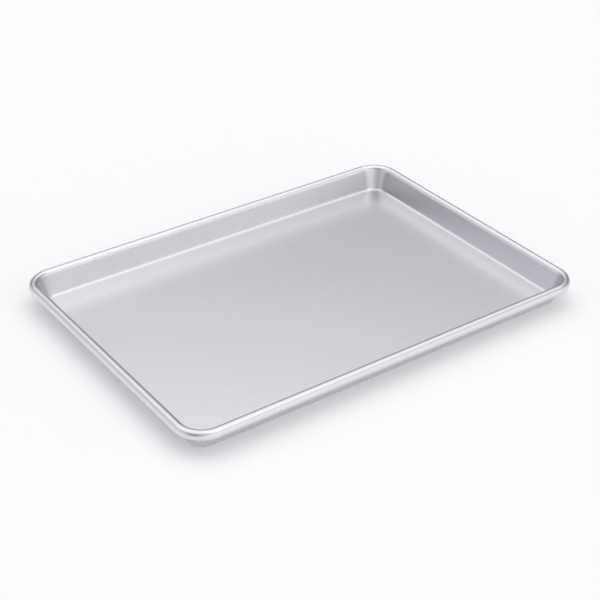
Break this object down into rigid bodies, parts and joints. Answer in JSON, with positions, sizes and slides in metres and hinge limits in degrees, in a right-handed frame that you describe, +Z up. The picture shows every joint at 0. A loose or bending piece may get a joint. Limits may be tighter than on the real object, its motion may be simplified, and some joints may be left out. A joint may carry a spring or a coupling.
{
  "type": "jelly roll pan",
  "caption": "Shallow rectangular rimmed baking pan of satin aluminium, with leaning walls, round corners and a rim rolled round a steel wire.",
  "frame": {"origin": "middle of the underside, on the surface that the pan stands on", "axes": "+X along the length, +Y along the width, +Z up out of the open side"},
  "size_m": [0.4572, 0.3302, 0.0264],
  "materials": {
    "pan_sheet": "satin, fine even grain from rolling, undyed",
    "rim_wire": "drawn steel wire, bright zinc coat"
  },
  "bodies": {
    "root": {"pan_body": "pan_sheet", "rim_wire": "rim_wire"}
  },
  "joints": []
}
